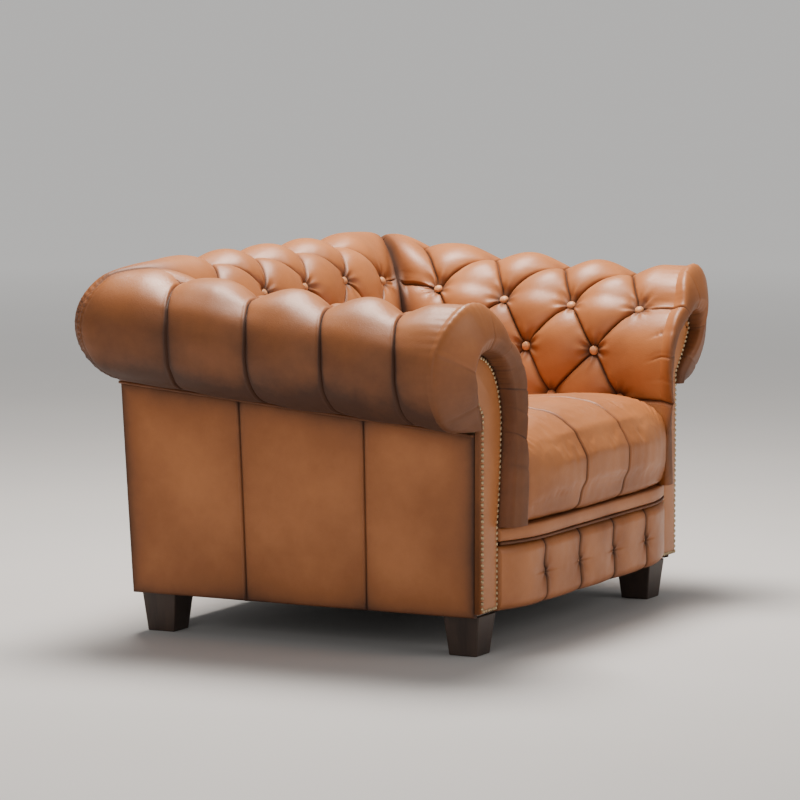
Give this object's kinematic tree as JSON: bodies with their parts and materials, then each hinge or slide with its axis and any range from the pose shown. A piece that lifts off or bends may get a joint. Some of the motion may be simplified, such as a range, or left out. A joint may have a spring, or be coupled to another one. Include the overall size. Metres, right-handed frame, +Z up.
{
  "type": "leather armchair",
  "caption": "low deep-buttoned armchair with rolled arms and back, a loose seat cushion, studded arm facings, a buttoned front rail and short tapered wooden legs",
  "frame": {"origin": "on the floor, under the middle of the chair's box", "axes": "+X to the left of a person who sits in the chair, across its width; +Y from the front to the back; +Z up"},
  "size_m": [1.264, 0.853, 0.722],
  "materials": {
    "leather": "satin",
    "leather_trim": "satin",
    "foam": "matte",
    "cloth": "matte",
    "webbing": "matte",
    "zip_cloth": "matte",
    "frame_wood": "matte",
    "leg_wood": "satin",
    "steel": "satin",
    "nail_brass": "satin",
    "zip_brass": "satin",
    "glide": "matte"
  },
  "bodies": {
    "chair": {"arm_buttons_left": "leather_trim", "arm_buttons_right": "leather_trim", "arm_cover_left": "leather", "arm_cover_right": "leather", "arm_facing_left": "leather", "arm_facing_right": "leather", "arm_foam_left": "foam", "arm_foam_right": "foam", "arm_post_left": "frame_wood", "arm_post_right": "frame_wood", "arm_rail_left": "frame_wood", "arm_rail_right": "frame_wood", "back_buttons": "leather_trim", "back_cover": "leather", "back_foam": "foam", "back_post_left": "frame_wood", "back_post_right": "frame_wood", "back_tack_rail": "frame_wood", "back_top_rail": "frame_wood", "back_webbing": "webbing", "back_welt": "leather_trim", "corner_blocks": "frame_wood", "deck_band": "leather", "deck_cover": "cloth", "deck_pad": "foam", "dust_cover": "cloth", "facing_nails_left": "nail_brass", "facing_nails_right": "nail_brass", "front_rail": "frame_wood", "leg_bolts": "steel", "leg_front_left": "leg_wood", "leg_front_right": "leg_wood", "leg_glides": "glide", "leg_plates": "steel", "leg_rear_left": "leg_wood", "leg_rear_right": "leg_wood", "outside_arm_left": "leather", "outside_arm_right": "leather", "outside_back": "leather", "rail_buttons": "leather_trim", "rail_cover": "leather", "rail_piping": "leather_trim", "rear_rail": "frame_wood", "roll_board_left": "frame_wood", "roll_board_right": "frame_wood", "seat_springs": "steel", "side_rail_left": "frame_wood", "side_rail_right": "frame_wood", "side_welt_left": "leather_trim", "side_welt_right": "leather_trim", "spring_clips": "steel", "spring_insulator": "cloth", "tack_rail_left": "frame_wood", "tack_rail_right": "frame_wood"},
    "seat_cushion": {"cushion_cover": "leather", "cushion_core": "foam", "zip_tape": "zip_cloth"},
    "zip_pull": {"zip_slider": "zip_brass"}
  },
  "joints": [
    {"name": "seat_cushion_lift", "type": "slide", "parent": "chair", "child": "seat_cushion", "axis": [0, 0, 1], "range_m": [0, 0.5]},
    {"name": "zip_slide", "type": "slide", "parent": "seat_cushion", "child": "zip_pull", "axis": [1, 0, 0], "range_m": [0, 0.564]}
  ]
}
